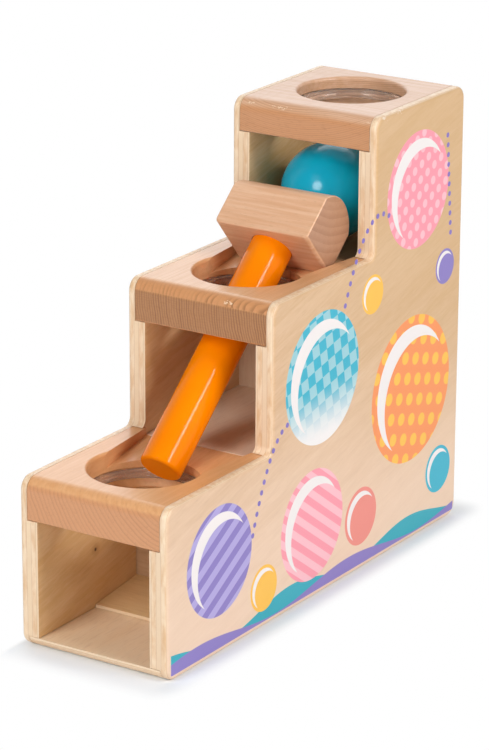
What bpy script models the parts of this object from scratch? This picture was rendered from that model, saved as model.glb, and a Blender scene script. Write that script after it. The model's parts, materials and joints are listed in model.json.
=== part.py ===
"""Pound and roll tower: a stepped wooden toy with three pounding holes, a ball and a hammer.

X runs across the tower, Y from its front to its back, and Z up. The origin is on the ground
under the middle of the tower. All sizes are in metres.
"""

import math

import bmesh
import bpy
from mathutils import Matrix

# Ball, and the room that the tower leaves around it
BALL_RADIUS = 0.0295
BALL_SIDE_ROOM = 0.0085
BALL_HEADROOM = 0.0092
BALL_HOLE_ROOM = 0.0035
BALL_SHIFT = -0.0015
BALL_GAP = 0.0042

# Side panels
PANEL_THICKNESS = 0.012
LET_IN = 0.007
CORNER_RADIUS = 0.008
INNER_CORNER_RADIUS = 0.005
EDGE_ROUND = 0.0024
FIT = 0.0003

# Step blocks and their pounding holes
STEP_BLOCK_THICKNESS = 0.025
TOP_BLOCK_THICKNESS = 0.020
BLOCK_ARRIS = 0.0008
HOLE_FRONT_MARGIN = 0.018
TOP_HOLE_FRONT_MARGIN = 0.0205
TOP_HOLE_BACK_MARGIN = 0.0165
HOLE_RIM_ROUND = 0.0008
HOLE_FOOT_CHAMFER = 0.0015

# Roll-in channel behind the two lower holes
LOWER_CHANNEL_LENGTH = 0.023
MIDDLE_CHANNEL_LENGTH = 0.026
CHANNEL_DROP = 0.0045
CHANNEL_SLOPE = math.radians(5.5)
CHANNEL_MARGIN = 0.0005
CHANNEL_INSET = 0.0025
CHANNEL_LEAD = 0.005

# Grip rings
RING_TUBE_RADIUS = 0.003
RING_GRIP = 0.001
RING_HEIGHT = 0.010

# Boards between the panels
FLOOR_THICKNESS = 0.0065
BACK_THICKNESS = 0.006
RISER_THICKNESS = 0.006
RISER_SETBACK = 0.004
RAMP_THICKNESS = 0.004
RAMP_SLOPE = math.radians(1.0)
LOWER_RAMP_SETBACK = 0.055
LOWER_RAMP_LIP = 0.002
LOWER_RAMP_SLOPE = math.radians(6.5)

# Hammer
HEAD_END_ROOM = 0.006
HEAD_WIDTH = 0.038
HEAD_SIDE = 0.0285
HEAD_CROWN = 0.010
HEAD_ARRIS = 0.0012
HANDLE_RADIUS = 0.0127
HANDLE_LENGTH = 0.155
HANDLE_SOCKET = 0.020
HANDLE_END_ROUND = 0.002
HAMMER_SHIFT = 0.0005
HAMMER_CLEARANCE = 0.0004

# How finely round forms are divided
CORNER_STEPS = 6
RIM_STEPS = 3
HOLE_STEPS = 48
GROOVE_STEPS = 5
RING_STEPS = 48
RING_TUBE_STEPS = 10
CROWN_STEPS = 14
HANDLE_STEPS = 40
BALL_SEGMENTS = 40
BALL_RINGS = 20
EDGE_SEGMENTS = 3
MERGE_DISTANCE = 0.00001
FLAT_ANGLE = math.radians(0.1)
SHARP_ANGLE = math.radians(30)
CUTTER_OVERRUN = 0.001

# Sizes and places that follow from those above
CHAMBER_HEIGHT = 2 * BALL_RADIUS + BALL_HEADROOM
HOLE_RADIUS = BALL_RADIUS + BALL_HOLE_ROOM
RING_RADIUS = BALL_RADIUS - RING_GRIP + RING_TUBE_RADIUS
INNER_HALF = BALL_RADIUS + BALL_SIDE_ROOM
OUTER_HALF = INNER_HALF + PANEL_THICKNESS
LET_IN_HALF = INNER_HALF + LET_IN
HEAD_HALF = INNER_HALF - HEAD_END_ROOM
LOWER_STEP_DEPTH = HOLE_FRONT_MARGIN + 2 * HOLE_RADIUS + LOWER_CHANNEL_LENGTH
MIDDLE_STEP_DEPTH = HOLE_FRONT_MARGIN + 2 * HOLE_RADIUS + MIDDLE_CHANNEL_LENGTH
TOP_STEP_DEPTH = TOP_HOLE_FRONT_MARGIN + 2 * HOLE_RADIUS + TOP_HOLE_BACK_MARGIN
FRONT = -(LOWER_STEP_DEPTH + MIDDLE_STEP_DEPTH + TOP_STEP_DEPTH) / 2
BACK = -FRONT
MIDDLE_FRONT = FRONT + LOWER_STEP_DEPTH
TOP_FRONT = MIDDLE_FRONT + MIDDLE_STEP_DEPTH
LOWER_STEP_BOTTOM = FLOOR_THICKNESS + FIT + LOWER_RAMP_LIP + CHAMBER_HEIGHT
LOWER_STEP_TOP = LOWER_STEP_BOTTOM + STEP_BLOCK_THICKNESS
MIDDLE_STEP_BOTTOM = LOWER_STEP_TOP - CHANNEL_DROP + FIT + CHAMBER_HEIGHT
MIDDLE_STEP_TOP = MIDDLE_STEP_BOTTOM + STEP_BLOCK_THICKNESS
TOP_BLOCK_BOTTOM = MIDDLE_STEP_TOP - CHANNEL_DROP + FIT + CHAMBER_HEIGHT
HEIGHT = TOP_BLOCK_BOTTOM + TOP_BLOCK_THICKNESS
LOWER_HOLE_Y = FRONT + HOLE_FRONT_MARGIN + HOLE_RADIUS
MIDDLE_HOLE_Y = MIDDLE_FRONT + HOLE_FRONT_MARGIN + HOLE_RADIUS
TOP_HOLE_Y = TOP_FRONT + TOP_HOLE_FRONT_MARGIN + HOLE_RADIUS
LOWER_RISER_Y = MIDDLE_FRONT - RISER_SETBACK - RISER_THICKNESS
MIDDLE_RISER_Y = TOP_FRONT - RISER_SETBACK - RISER_THICKNESS
BACK_BOARD_Y = BACK - BACK_THICKNESS
CROWN_RADIUS = ((HEAD_WIDTH / 2) ** 2 + HEAD_CROWN ** 2) / (2 * HEAD_CROWN)

# A side view drawn as (y, z) stands up in the tower, with its thickness along X
SIDE_VIEW = Matrix(((0, 0, 1, 0), (1, 0, 0, 0), (0, 1, 0, 0), (0, 0, 0, 1)))

# Colours as linear RGB, and how rough each finish is
PLYWOOD = (0.80, 0.60, 0.41)
PLYWOOD_SHADED = (0.68, 0.47, 0.29)
BEECH = (0.64, 0.37, 0.20)
BEECH_PALE = (0.68, 0.42, 0.25)
CLEAR_GREY = (0.45, 0.42, 0.40)
ORANGE = (1.00, 0.23, 0.01)
TURQUOISE = (0.00, 0.33, 0.46)
WOOD_ROUGHNESS = 0.5
RING_ROUGHNESS = 0.2
LACQUER_ROUGHNESS = 0.13


def remove_everything():
    """Empty the scene of objects."""
    for item in list(bpy.data.objects):
        bpy.data.objects.remove(item, do_unlink=True)


def new_collection(name):
    """Return a new collection under the scene."""
    collection = bpy.data.collections.new(name)
    bpy.context.scene.collection.children.link(collection)
    return collection


def finish(item, colour, roughness):
    """Give an object its own Principled material."""
    material = bpy.data.materials.new(item.name)
    material.use_nodes = True
    shader = material.node_tree.nodes["Principled BSDF"]
    shader.inputs["Base Color"].default_value = (*colour, 1.0)
    shader.inputs["Roughness"].default_value = roughness
    shader.inputs["Metallic"].default_value = 0.0
    material.diffuse_color = (*colour, 1.0)
    item.data.materials.clear()
    item.data.materials.append(material)
    return item


def arc(centre, radius, start, end, steps):
    """Points of an arc from one angle to another, both in degrees and both included."""
    points = []
    for index in range(steps + 1):
        angle = math.radians(start + (end - start) * index / steps)
        points.append((centre[0] + radius * math.cos(angle), centre[1] + radius * math.sin(angle)))
    return points


def rounded_outline(corners):
    """Turn corners (y, z, radius) of a closed outline into points with arcs at the corners."""
    points = []
    count = len(corners)
    for index, (y, z, radius) in enumerate(corners):
        before = corners[index - 1]
        after = corners[(index + 1) % count]
        to_before = math.atan2(before[1] - z, before[0] - y)
        to_after = math.atan2(after[1] - z, after[0] - y)
        opening = (to_before - to_after) % (2 * math.pi)
        if opening > math.pi:
            opening = 2 * math.pi - opening
        tangent = radius / math.tan(opening / 2)
        middle = math.atan2(
            math.sin(to_before) + math.sin(to_after), math.cos(to_before) + math.cos(to_after)
        )
        reach = radius / math.sin(opening / 2)
        centre = (y + reach * math.cos(middle), z + reach * math.sin(middle))
        first = (y + tangent * math.cos(to_before), z + tangent * math.sin(to_before))
        last = (y + tangent * math.cos(to_after), z + tangent * math.sin(to_after))
        start = math.degrees(math.atan2(first[1] - centre[1], first[0] - centre[0]))
        turn = math.degrees(math.atan2(last[1] - centre[1], last[0] - centre[0])) - start
        turn = (turn + 180.0) % 360.0 - 180.0
        points.extend(arc(centre, radius, start, start + turn, CORNER_STEPS))
    return points


def box_outline(y_from, y_to, z_from, z_to, grow):
    """Corners of a rectangle in the side view, grown on every side by a clearance."""
    return [
        (y_from - grow, z_from - grow),
        (y_to + grow, z_from - grow),
        (y_to + grow, z_to + grow),
        (y_from - grow, z_to + grow),
    ]


def prism(name, outline, x_from, x_to, collection):
    """Stand a closed outline of (y, z) points up as a solid between two X values."""
    sketch_data = bpy.data.curves.new(name + "_sketch", "CURVE")
    sketch_data.dimensions = "2D"
    sketch_data.fill_mode = "BOTH"
    sketch_data.extrude = (x_to - x_from) / 2
    spline = sketch_data.splines.new("POLY")
    spline.points.add(len(outline) - 1)
    for point, (y, z) in zip(spline.points, outline):
        point.co = (y, z, 0.0, 1.0)
    spline.use_cyclic_u = True
    sketch = bpy.data.objects.new(name + "_sketch", sketch_data)
    sketch.matrix_world = Matrix.Translation(((x_from + x_to) / 2, 0, 0)) @ SIDE_VIEW
    collection.objects.link(sketch)
    bpy.context.view_layer.update()
    evaluated = sketch.evaluated_get(bpy.context.evaluated_depsgraph_get())
    mesh = bpy.data.meshes.new_from_object(evaluated)
    mesh.name = name
    solid = bmesh.new()
    solid.from_mesh(mesh)
    bmesh.ops.remove_doubles(solid, verts=solid.verts, dist=MERGE_DISTANCE)
    bmesh.ops.dissolve_limit(
        solid, angle_limit=FLAT_ANGLE, verts=solid.verts, edges=solid.edges
    )
    bmesh.ops.recalc_face_normals(solid, faces=solid.faces)
    solid.to_mesh(mesh)
    solid.free()
    item = bpy.data.objects.new(name, mesh)
    item.matrix_world = sketch.matrix_world
    collection.objects.link(item)
    bpy.data.objects.remove(sketch, do_unlink=True)
    return item


def turned(name, profile, steps, closed, collection):
    """Turn a profile of (radius, height) points about Z, running down its outer side."""
    mesh = bpy.data.meshes.new(name)
    outline = bmesh.new()
    points = [outline.verts.new((radius, 0.0, height)) for radius, height in profile]
    pairs = list(zip(points, points[1:]))
    if closed:
        pairs.append((points[-1], points[0]))
    for first, second in pairs:
        outline.edges.new((first, second))
    outline.to_mesh(mesh)
    outline.free()
    item = bpy.data.objects.new(name, mesh)
    collection.objects.link(item)
    screw = item.modifiers.new("turn", "SCREW")
    screw.axis = "Z"
    screw.steps = steps
    screw.render_steps = steps
    screw.use_smooth_shade = True
    screw.use_merge_vertices = True
    screw.merge_threshold = MERGE_DISTANCE
    return item


def make_cutter(item):
    """Mark an object as one that only cuts others."""
    item.hide_render = True
    item.display_type = "WIRE"
    return item


def cut(item, cutter):
    """Cut one object out of another."""
    boolean = item.modifiers.new("cut_" + cutter.name, "BOOLEAN")
    boolean.operation = "DIFFERENCE"
    boolean.solver = "EXACT"
    boolean.object = cutter


def channel_floor(step_back, step_top, y):
    """Height of a roll-in channel's floor at a depth."""
    return step_top - CHANNEL_DROP - (step_back - y) * math.tan(CHANNEL_SLOPE)


def ramp_top(step_back, step_top, y):
    """Height of a ramp's upper face at a depth, behind the channel that it feeds."""
    return step_top - CHANNEL_DROP + FIT + (y - step_back) * math.tan(RAMP_SLOPE)


def panel_outline():
    """Stepped outline of a side panel."""
    return rounded_outline([
        (FRONT, 0.0, CORNER_RADIUS),
        (BACK, 0.0, CORNER_RADIUS),
        (BACK, HEIGHT, CORNER_RADIUS),
        (TOP_FRONT, HEIGHT, CORNER_RADIUS),
        (TOP_FRONT, MIDDLE_STEP_TOP, INNER_CORNER_RADIUS),
        (MIDDLE_FRONT, MIDDLE_STEP_TOP, CORNER_RADIUS),
        (MIDDLE_FRONT, LOWER_STEP_TOP, INNER_CORNER_RADIUS),
        (FRONT, LOWER_STEP_TOP, CORNER_RADIUS),
    ])


def block_outline(front, back, bottom, top, back_radius):
    """Side view of a step block, with its nosing rounded like the panels' corners."""
    return rounded_outline([
        (front, bottom, BLOCK_ARRIS),
        (back, bottom, BLOCK_ARRIS),
        (back, top, back_radius),
        (front, top, CORNER_RADIUS),
    ])


def floor_outline():
    """Side view of the floor board, whose ends follow the panels' lower corners."""
    height = CORNER_RADIUS - FLOOR_THICKNESS
    reach = math.degrees(math.asin(height / CORNER_RADIUS))
    front_end = arc((FRONT + CORNER_RADIUS, CORNER_RADIUS), CORNER_RADIUS, 180 + reach, 270, CORNER_STEPS)
    back_end = arc((BACK - CORNER_RADIUS, CORNER_RADIUS), CORNER_RADIUS, 270, 360 - reach, CORNER_STEPS)
    return front_end + back_end


def ramp_outline(step_back, step_top, y_to, grow):
    """Side view of a ramp plate from the back of a step block to the board behind it."""
    y_from = step_back + FIT - grow
    y_end = y_to - FIT + grow
    front_top = ramp_top(step_back, step_top, y_from) + grow
    back_top = ramp_top(step_back, step_top, y_end) + grow
    thickness = RAMP_THICKNESS + 2 * grow
    return [
        (y_from, front_top - thickness),
        (y_end, back_top - thickness),
        (y_end, back_top),
        (y_from, front_top),
    ]


def lower_ramp_outline():
    """Side view of the wedge on the floor of the lowest chamber."""
    y_from = FRONT + LOWER_RAMP_SETBACK
    y_to = LOWER_RISER_Y - FIT
    base = FLOOR_THICKNESS + FIT
    rise = (y_to - y_from) * math.tan(LOWER_RAMP_SLOPE)
    return [
        (y_from, base),
        (y_to, base),
        (y_to, base + LOWER_RAMP_LIP + rise),
        (y_from, base + LOWER_RAMP_LIP),
    ]


def board_outlines(grow):
    """Side views of the boards that the panels hold, grown on every side by a clearance."""
    middle_ramp_foot = ramp_top(MIDDLE_FRONT, LOWER_STEP_TOP, MIDDLE_RISER_Y) - RAMP_THICKNESS
    above_floor = FLOOR_THICKNESS + FIT
    return {
        "back_board": box_outline(
            BACK_BOARD_Y, BACK, above_floor, TOP_BLOCK_BOTTOM - FIT, grow),
        "lower_riser": box_outline(
            LOWER_RISER_Y, LOWER_RISER_Y + RISER_THICKNESS, above_floor, LOWER_STEP_BOTTOM - FIT, grow),
        "middle_riser": box_outline(
            MIDDLE_RISER_Y, MIDDLE_RISER_Y + RISER_THICKNESS,
            middle_ramp_foot, MIDDLE_STEP_BOTTOM - FIT, grow),
        "middle_ramp": ramp_outline(MIDDLE_FRONT, LOWER_STEP_TOP, MIDDLE_RISER_Y, grow),
        "upper_ramp": ramp_outline(TOP_FRONT, MIDDLE_STEP_TOP, BACK_BOARD_Y, grow),
    }


def housing_outlines():
    """Side views of the housings in the panels for the blocks, the floor and the boards."""
    housings = board_outlines(FIT)
    housings["lower_step_block"] = box_outline(
        FRONT, MIDDLE_FRONT, LOWER_STEP_BOTTOM, LOWER_STEP_TOP, FIT)
    housings["middle_step_block"] = box_outline(
        MIDDLE_FRONT, TOP_FRONT, MIDDLE_STEP_BOTTOM, MIDDLE_STEP_TOP, FIT)
    housings["top_step_block"] = box_outline(TOP_FRONT, BACK, TOP_BLOCK_BOTTOM, HEIGHT, FIT)
    housings["floor_board"] = box_outline(FRONT, BACK, 0.0, FLOOR_THICKNESS, FIT)
    return housings


def make_panel(name, side, parts, cutters):
    """Build a side panel, with its outer edges rounded and its inner face housed for the boards."""
    outer = side * OUTER_HALF
    inner = side * INNER_HALF
    panel = prism(name, panel_outline(), min(outer, inner), max(outer, inner), parts)
    mesh = panel.data
    weights = mesh.attributes.new("bevel_weight_edge", "FLOAT", "EDGE")
    for edge in mesh.edges:
        heights = [mesh.vertices[index].co.z * side for index in edge.vertices]
        weights.data[edge.index].value = 1.0 if min(heights) > 0 else 0.0
    bevel = panel.modifiers.new("outer_edges", "BEVEL")
    bevel.limit_method = "WEIGHT"
    bevel.width = EDGE_ROUND
    bevel.segments = EDGE_SEGMENTS
    for held, outline in housing_outlines().items():
        near = side * (INNER_HALF - CUTTER_OVERRUN)
        far = side * LET_IN_HALF
        housing = prism(name + "_" + held, outline, min(near, far), max(near, far), cutters)
        cut(panel, make_cutter(housing))
    return finish(panel, PLYWOOD, WOOD_ROUGHNESS)


def hole_profile(thickness):
    """Profile of a pounding hole, from above its rounded rim down past its foot."""
    rim_centre = (HOLE_RADIUS + HOLE_RIM_ROUND, thickness - HOLE_RIM_ROUND + FIT)
    groove_radius = RING_TUBE_RADIUS + FIT
    groove_angle = math.degrees(math.acos((HOLE_RADIUS - RING_RADIUS) / groove_radius))
    top = thickness + CUTTER_OVERRUN
    profile = [(0.0, top), (HOLE_RADIUS + HOLE_RIM_ROUND, top)]
    profile += arc(rim_centre, HOLE_RIM_ROUND, 90, 180, RIM_STEPS)
    profile += arc((RING_RADIUS, RING_HEIGHT), groove_radius, groove_angle, -groove_angle, GROOVE_STEPS)
    profile += [
        (HOLE_RADIUS, HOLE_FOOT_CHAMFER),
        (HOLE_RADIUS + HOLE_FOOT_CHAMFER + CUTTER_OVERRUN, -CUTTER_OVERRUN),
        (0.0, -CUTTER_OVERRUN),
    ]
    return profile


def make_channel(name, hole_y, step_back, step_top, cutters):
    """Wedge that cuts a roll-in channel: a box whose corners follow the flare and the fall."""
    mesh = bpy.data.meshes.new(name)
    wedge = bmesh.new()
    bmesh.ops.create_cube(wedge, size=2.0)
    y_front = hole_y - CHANNEL_LEAD
    y_back = step_back + CUTTER_OVERRUN
    for corner in wedge.verts:
        at_back = corner.co.y > 0
        half = INNER_HALF - CHANNEL_MARGIN if at_back else HOLE_RADIUS - CHANNEL_INSET
        y = y_back if at_back else y_front
        z = step_top + CUTTER_OVERRUN if corner.co.z > 0 else channel_floor(step_back, step_top, y)
        corner.co = (math.copysign(half, corner.co.x), y, z)
    wedge.to_mesh(mesh)
    wedge.free()
    item = bpy.data.objects.new(name, mesh)
    cutters.objects.link(item)
    return make_cutter(item)


def make_block(name, front, back, bottom, top, hole_y, has_channel, parts, cutters):
    """Build a step block with its pounding hole and, behind the hole, its roll-in channel."""
    back_radius = BLOCK_ARRIS if has_channel else CORNER_RADIUS
    outline = block_outline(front, back, bottom, top, back_radius)
    half = LET_IN_HALF - FIT
    block = prism(name, outline, -half, half, parts)
    hole = turned(name + "_hole", hole_profile(top - bottom), HOLE_STEPS, False, cutters)
    hole.location = (0.0, hole_y, bottom)
    cut(block, make_cutter(hole))
    if has_channel:
        cut(block, make_channel(name + "_channel", hole_y, back, top, cutters))
    return finish(block, BEECH, WOOD_ROUGHNESS)


def make_ring(name, hole_y, bottom, parts):
    """Build the springy ring that grips the ball in a hole."""
    tube = arc((RING_RADIUS, 0.0), RING_TUBE_RADIUS, 90, -270, RING_TUBE_STEPS)[:-1]
    ring = turned(name, tube, RING_STEPS, True, parts)
    ring.location = (0.0, hole_y, bottom + RING_HEIGHT)
    return finish(ring, CLEAR_GREY, RING_ROUGHNESS)


def make_boards(parts):
    """Build the floor, the back, the two risers and the three ramps."""
    held = LET_IN_HALF - FIT
    free = INNER_HALF - FIT
    finish(prism("floor_board", floor_outline(), -held, held, parts), PLYWOOD, WOOD_ROUGHNESS)
    finish(prism("lower_ramp", lower_ramp_outline(), -free, free, parts), PLYWOOD, WOOD_ROUGHNESS)
    for name, outline in board_outlines(0.0).items():
        finish(prism(name, outline, -held, held, parts), PLYWOOD_SHADED, WOOD_ROUGHNESS)


def hammer_place():
    """Lean of the handle above the level, and the middle of the head's handle face.

    The handle lies over the lip of the lower channel and under the foot of the middle hole,
    and the head's back edge rests in the middle channel.
    """
    lip_y = LOWER_HOLE_Y + HOLE_RADIUS
    lip_z = channel_floor(MIDDLE_FRONT, LOWER_STEP_TOP, lip_y)
    edge_y = MIDDLE_HOLE_Y - HOLE_RADIUS
    edge_z = MIDDLE_STEP_BOTTOM
    span = math.hypot(edge_y - lip_y, edge_z - lip_z)
    room = HANDLE_RADIUS + HAMMER_CLEARANCE
    lean = math.atan2(edge_z - lip_z, edge_y - lip_y) - math.asin(2 * room / span)
    along_y = math.cos(lean)
    along_z = math.sin(lean)
    base_y = lip_y - room * along_z
    base_z = lip_z + room * along_y
    edge_lift = HEAD_ARRIS * (along_y + along_z - 1.0)
    slope = math.tan(CHANNEL_SLOPE)
    rear_y = base_y + HEAD_WIDTH / 2 * along_z
    rear_z = base_z - HEAD_WIDTH / 2 * along_y + edge_lift
    floor_z = channel_floor(TOP_FRONT, MIDDLE_STEP_TOP, rear_y) + FIT
    travel = (floor_z - rear_z) / (along_z - slope * along_y)
    return lean, base_y + travel * along_y, base_z + travel * along_z


def head_outline():
    """End view of the hammer head: a flat handle face, two flat sides and a crown."""
    half = HEAD_WIDTH / 2
    centre = (0.0, HEAD_SIDE + HEAD_CROWN - CROWN_RADIUS)
    reach = math.degrees(math.asin(half / CROWN_RADIUS))
    crown = arc(centre, CROWN_RADIUS, 90 - reach, 90 + reach, CROWN_STEPS)
    return [(-half, 0.0), (half, 0.0)] + crown


def handle_profile():
    """Profile of the handle, from its end in the head down to its rounded free end."""
    top = HANDLE_SOCKET - FIT
    bottom = -HANDLE_LENGTH
    round_centre = (HANDLE_RADIUS - HANDLE_END_ROUND, bottom + HANDLE_END_ROUND)
    profile = [(0.0, top), (HANDLE_RADIUS, top)]
    profile += arc(round_centre, HANDLE_END_ROUND, 0, -90, RIM_STEPS)
    profile.append((0.0, bottom))
    return profile


def make_hammer(parts, cutters):
    """Build the hammer on an empty that lies on its handle's axis, at the head's handle face."""
    lean, place_y, place_z = hammer_place()
    hammer = bpy.data.objects.new("hammer", None)
    hammer.location = (HAMMER_SHIFT, place_y, place_z)
    hammer.rotation_euler = (lean - math.pi / 2, 0.0, 0.0)
    parts.objects.link(hammer)
    head = prism("hammer_head", head_outline(), -HEAD_HALF, HEAD_HALF, parts)
    handle = turned("hammer_handle", handle_profile(), HANDLE_STEPS, False, parts)
    socket_radius = HANDLE_RADIUS + FIT
    socket_profile = [
        (0.0, HANDLE_SOCKET),
        (socket_radius, HANDLE_SOCKET),
        (socket_radius, -CUTTER_OVERRUN),
        (0.0, -CUTTER_OVERRUN),
    ]
    socket = turned("hammer_head_socket", socket_profile, HANDLE_STEPS, False, cutters)
    for item in (head, handle, socket):
        item.parent = hammer
    bevel = head.modifiers.new("arris", "BEVEL")
    bevel.limit_method = "ANGLE"
    bevel.angle_limit = SHARP_ANGLE
    bevel.width = HEAD_ARRIS
    bevel.segments = EDGE_SEGMENTS
    cut(head, make_cutter(socket))
    finish(head, BEECH_PALE, WOOD_ROUGHNESS)
    finish(handle, ORANGE, LACQUER_ROUGHNESS)


def make_ball(parts):
    """Build the ball on the upper ramp, just behind the crown of the hammer head."""
    lean, place_y, place_z = hammer_place()
    crown_y = place_y + (HEAD_SIDE + HEAD_CROWN - CROWN_RADIUS) * math.cos(lean)
    crown_z = place_z + (HEAD_SIDE + HEAD_CROWN - CROWN_RADIUS) * math.sin(lean)
    reach = CROWN_RADIUS + BALL_RADIUS + BALL_GAP
    slope = math.tan(RAMP_SLOPE)
    lift = (BALL_RADIUS + FIT) / math.cos(RAMP_SLOPE)
    above = ramp_top(TOP_FRONT, MIDDLE_STEP_TOP, crown_y) + lift - crown_z
    square = 1.0 + slope ** 2
    ahead = (math.sqrt(square * reach ** 2 - above ** 2) - slope * above) / square
    bpy.ops.mesh.primitive_uv_sphere_add(
        segments=BALL_SEGMENTS,
        ring_count=BALL_RINGS,
        radius=BALL_RADIUS,
        location=(BALL_SHIFT, crown_y + ahead, crown_z + above + slope * ahead),
    )
    ball = bpy.context.active_object
    ball.name = "ball"
    ball.data.name = "ball"
    for collection in list(ball.users_collection):
        collection.objects.unlink(ball)
    parts.objects.link(ball)
    ball.data.shade_smooth()
    return finish(ball, TURQUOISE, LACQUER_ROUGHNESS)


def main():
    """Build the whole tower."""
    remove_everything()
    parts = new_collection("pound_and_roll_tower")
    cutters = new_collection("cutters")
    make_panel("left_side_panel", -1, parts, cutters)
    make_panel("right_side_panel", 1, parts, cutters)
    make_block("lower_step_block", FRONT, MIDDLE_FRONT, LOWER_STEP_BOTTOM, LOWER_STEP_TOP,
               LOWER_HOLE_Y, True, parts, cutters)
    make_block("middle_step_block", MIDDLE_FRONT, TOP_FRONT, MIDDLE_STEP_BOTTOM, MIDDLE_STEP_TOP,
               MIDDLE_HOLE_Y, True, parts, cutters)
    make_block("top_step_block", TOP_FRONT, BACK, TOP_BLOCK_BOTTOM, HEIGHT,
               TOP_HOLE_Y, False, parts, cutters)
    make_ring("lower_grip_ring", LOWER_HOLE_Y, LOWER_STEP_BOTTOM, parts)
    make_ring("middle_grip_ring", MIDDLE_HOLE_Y, MIDDLE_STEP_BOTTOM, parts)
    make_ring("top_grip_ring", TOP_HOLE_Y, TOP_BLOCK_BOTTOM, parts)
    make_boards(parts)
    make_hammer(parts, cutters)
    make_ball(parts)


main()
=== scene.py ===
"""Looks of the pound and roll tower: its finer shapes, its finishes, the studio and the camera.

Everything is in metres in the part's own frame. X runs across the tower, Y from its front to its
back, and Z up.
"""

import json
import logging
import math
from contextlib import contextmanager
from dataclasses import dataclass
from enum import Enum
from typing import Any, Callable, Iterator, Sequence

import bmesh
import bpy
from mathutils import Matrix, Vector


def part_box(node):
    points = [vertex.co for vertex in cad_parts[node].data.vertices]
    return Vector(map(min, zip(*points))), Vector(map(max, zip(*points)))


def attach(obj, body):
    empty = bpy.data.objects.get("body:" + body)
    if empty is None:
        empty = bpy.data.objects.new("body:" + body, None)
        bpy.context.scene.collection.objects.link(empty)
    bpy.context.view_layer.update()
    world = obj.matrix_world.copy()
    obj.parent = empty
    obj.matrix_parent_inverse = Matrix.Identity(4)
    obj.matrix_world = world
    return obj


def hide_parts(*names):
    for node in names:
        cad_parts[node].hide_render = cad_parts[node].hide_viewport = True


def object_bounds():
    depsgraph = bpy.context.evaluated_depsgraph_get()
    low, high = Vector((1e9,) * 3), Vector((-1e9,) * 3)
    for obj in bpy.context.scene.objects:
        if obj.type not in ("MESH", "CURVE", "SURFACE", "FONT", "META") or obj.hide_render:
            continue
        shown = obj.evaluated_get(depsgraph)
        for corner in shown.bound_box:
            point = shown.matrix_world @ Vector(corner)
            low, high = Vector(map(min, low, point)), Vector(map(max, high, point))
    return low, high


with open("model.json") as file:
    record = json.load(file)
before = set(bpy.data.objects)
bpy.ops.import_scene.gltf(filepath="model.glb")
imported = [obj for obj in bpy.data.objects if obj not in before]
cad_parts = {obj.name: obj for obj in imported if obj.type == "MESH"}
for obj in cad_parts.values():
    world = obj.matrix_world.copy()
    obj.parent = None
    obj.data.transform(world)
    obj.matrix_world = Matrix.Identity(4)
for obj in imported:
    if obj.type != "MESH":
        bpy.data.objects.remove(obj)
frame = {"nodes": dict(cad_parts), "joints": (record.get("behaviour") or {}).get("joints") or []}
CAD_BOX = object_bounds()

LOG = logging.getLogger("pound_and_roll_tower")

# How solids are cut, joined and shaded
MERGE = 0.00001
OVERRUN = 0.001
FIT = 0.0003
SHARP = math.radians(30)
FLAT_WEIGHT = 80
EDGE_STEPS = 6

# Sizes that the step blocks share with their rings
RING_RADIUS = 0.0315
RING_TUBE = 0.003

# Finishes
LACQUER_ROUGHNESS = 0.22
INK_EDGE = 0.00015

Colour = tuple[float, float, float]
Point = tuple[float, float, float]
Flat = tuple[float, float]
Material = bpy.types.Material
Object = bpy.types.Object


def adjust(thing: Any, settings: dict[str, Any]) -> None:
    """Set attributes of a thing by name."""
    for name, value in settings.items():
        setattr(thing, name, value)


def srgb(red: int, green: int, blue: int) -> Colour:
    """Turn a colour as a picture shows it into linear light.

    Args:
        red: Red, from 0 to 255.
        green: Green, from 0 to 255.
        blue: Blue, from 0 to 255.

    Returns:
        The colour as linear RGB from 0 to 1.
    """
    linear = []
    for value in (red, green, blue):
        share = value / 255
        linear.append(share / 12.92 if share <= 0.04045 else ((share + 0.055) / 1.055) ** 2.4)
    return (linear[0], linear[1], linear[2])


class Axis(Enum):
    """An axis of the tower's frame, as its place in a point."""

    X = 0
    Y = 1
    Z = 2


class Pattern(Enum):
    """What a printed ball is filled with."""

    PLAIN = "plain"
    DOTS = "dots"
    CHECKS = "checks"
    STRIPES = "stripes"


class LampShape(Enum):
    """The shape of a softbox."""

    OBLONG = "RECTANGLE"
    ROUND = "ELLIPSE"


def operator(operation: str, swapped: bool = False) -> Callable[..., "Wire"]:
    """Make a method of Wire that adds a Math node.

    Args:
        operation: What the node does.
        swapped: Whether the method's own wire comes second.

    Returns:
        The method.
    """

    def method(wire: "Wire", *others: "Wire | float") -> "Wire":
        """Result of the Math node on the wire and the other value, if there is one."""
        values = (*others, wire) if swapped else (wire, *others)
        return wire.nodes.node("ShaderNodeMath", {"operation": operation}, dict(enumerate(values)))

    return method


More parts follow.
